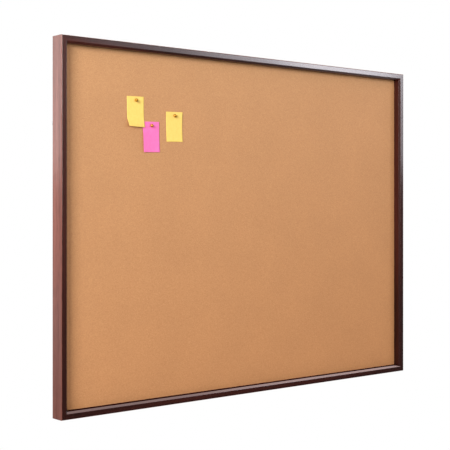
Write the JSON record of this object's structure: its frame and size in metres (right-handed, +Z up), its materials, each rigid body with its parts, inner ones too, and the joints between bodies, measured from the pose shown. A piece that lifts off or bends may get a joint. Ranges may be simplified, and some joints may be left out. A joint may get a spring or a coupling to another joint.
{
  "type": "framed cork pin board",
  "caption": "Wall-hung cork pin board recessed in a deep mitred dark wood frame, with paper notes that turn, tacks that pull out and swinging D-ring hangers.",
  "frame": {"origin": "middle of the top rail's back face, where the frame meets the wall", "axes": "+X to the right seen from the front, +Y back towards the wall, +Z up; the cork faces -Y"},
  "size_m": [1.2, 0.0464, 0.9],
  "materials": {
    "frame_wood": "satin",
    "cork": "matte",
    "softboard": "matte",
    "hardboard": "matte",
    "steel": "satin",
    "bumper_rubber": "matte",
    "tack_brass": "satin",
    "yellow_paper": "matte",
    "pink_paper": "matte"
  },
  "bodies": {
    "board": {"frame_top_rail": "frame_wood", "frame_right_stile": "frame_wood", "frame_bottom_rail": "frame_wood", "frame_left_stile": "frame_wood", "cork_sheet": "cork", "core_board": "softboard", "back_board": "hardboard", "corner_nail_1": "steel", "corner_nail_2": "steel", "corner_nail_3": "steel", "corner_nail_4": "steel", "retainer_1": "steel", "retainer_2": "steel", "retainer_3": "steel", "retainer_4": "steel", "retainer_5": "steel", "retainer_6": "steel", "retainer_7": "steel", "retainer_8": "steel", "retainer_9": "steel", "retainer_10": "steel", "retainer_11": "steel", "retainer_12": "steel", "retainer_13": "steel", "retainer_14": "steel", "left_hanger_strap": "steel", "left_hanger_screw_1": "steel", "left_hanger_screw_2": "steel", "right_hanger_strap": "steel", "right_hanger_screw_1": "steel", "right_hanger_screw_2": "steel", "left_bumper": "bumper_rubber", "right_bumper": "bumper_rubber"},
    "left_ring": {"left_hanger_ring": "steel"},
    "right_ring": {"right_hanger_ring": "steel"},
    "note_left": {"note_yellow_left": "yellow_paper"},
    "note_middle": {"note_pink": "pink_paper"},
    "note_right": {"note_yellow_right": "yellow_paper"},
    "tack_1": {"tack_head_1": "tack_brass", "tack_point_1": "steel"},
    "tack_2": {"tack_head_2": "tack_brass", "tack_point_2": "steel"},
    "tack_3": {"tack_head_3": "tack_brass", "tack_point_3": "steel"}
  },
  "joints": [
    {"name": "left_ring_swing", "type": "hinge", "parent": "board", "child": "left_ring", "pos_m": [-0.592, 0.0027, -0.194], "axis": [1, 0, 0], "range_deg": [0, 180]},
    {"name": "right_ring_swing", "type": "hinge", "parent": "board", "child": "right_ring", "pos_m": [0.592, 0.0027, -0.194], "axis": [1, 0, 0], "range_deg": [0, 180]},
    {"name": "note_left_turn", "type": "hinge", "parent": "board", "child": "note_left", "pos_m": [-0.3764, -0.0195, -0.1325], "axis": [0, 1, 0], "range_deg": [-8, 40]},
    {"name": "note_middle_turn", "type": "hinge", "parent": "board", "child": "note_middle", "pos_m": [-0.3294, -0.0195, -0.193], "axis": [0, 1, 0], "range_deg": [-10, 25]},
    {"name": "note_right_turn", "type": "hinge", "parent": "board", "child": "note_right", "pos_m": [-0.2569, -0.0195, -0.1645], "axis": [0, 1, 0], "range_deg": [-40, 8]},
    {"name": "tack_1_pull", "type": "slide", "parent": "board", "child": "tack_1", "axis": [0, -1, 0], "range_m": [0, 0.04]},
    {"name": "tack_2_pull", "type": "slide", "parent": "board", "child": "tack_2", "axis": [0, -1, 0], "range_m": [0, 0.04]},
    {"name": "tack_3_pull", "type": "slide", "parent": "board", "child": "tack_3", "axis": [0, -1, 0], "range_m": [0, 0.04]}
  ]
}
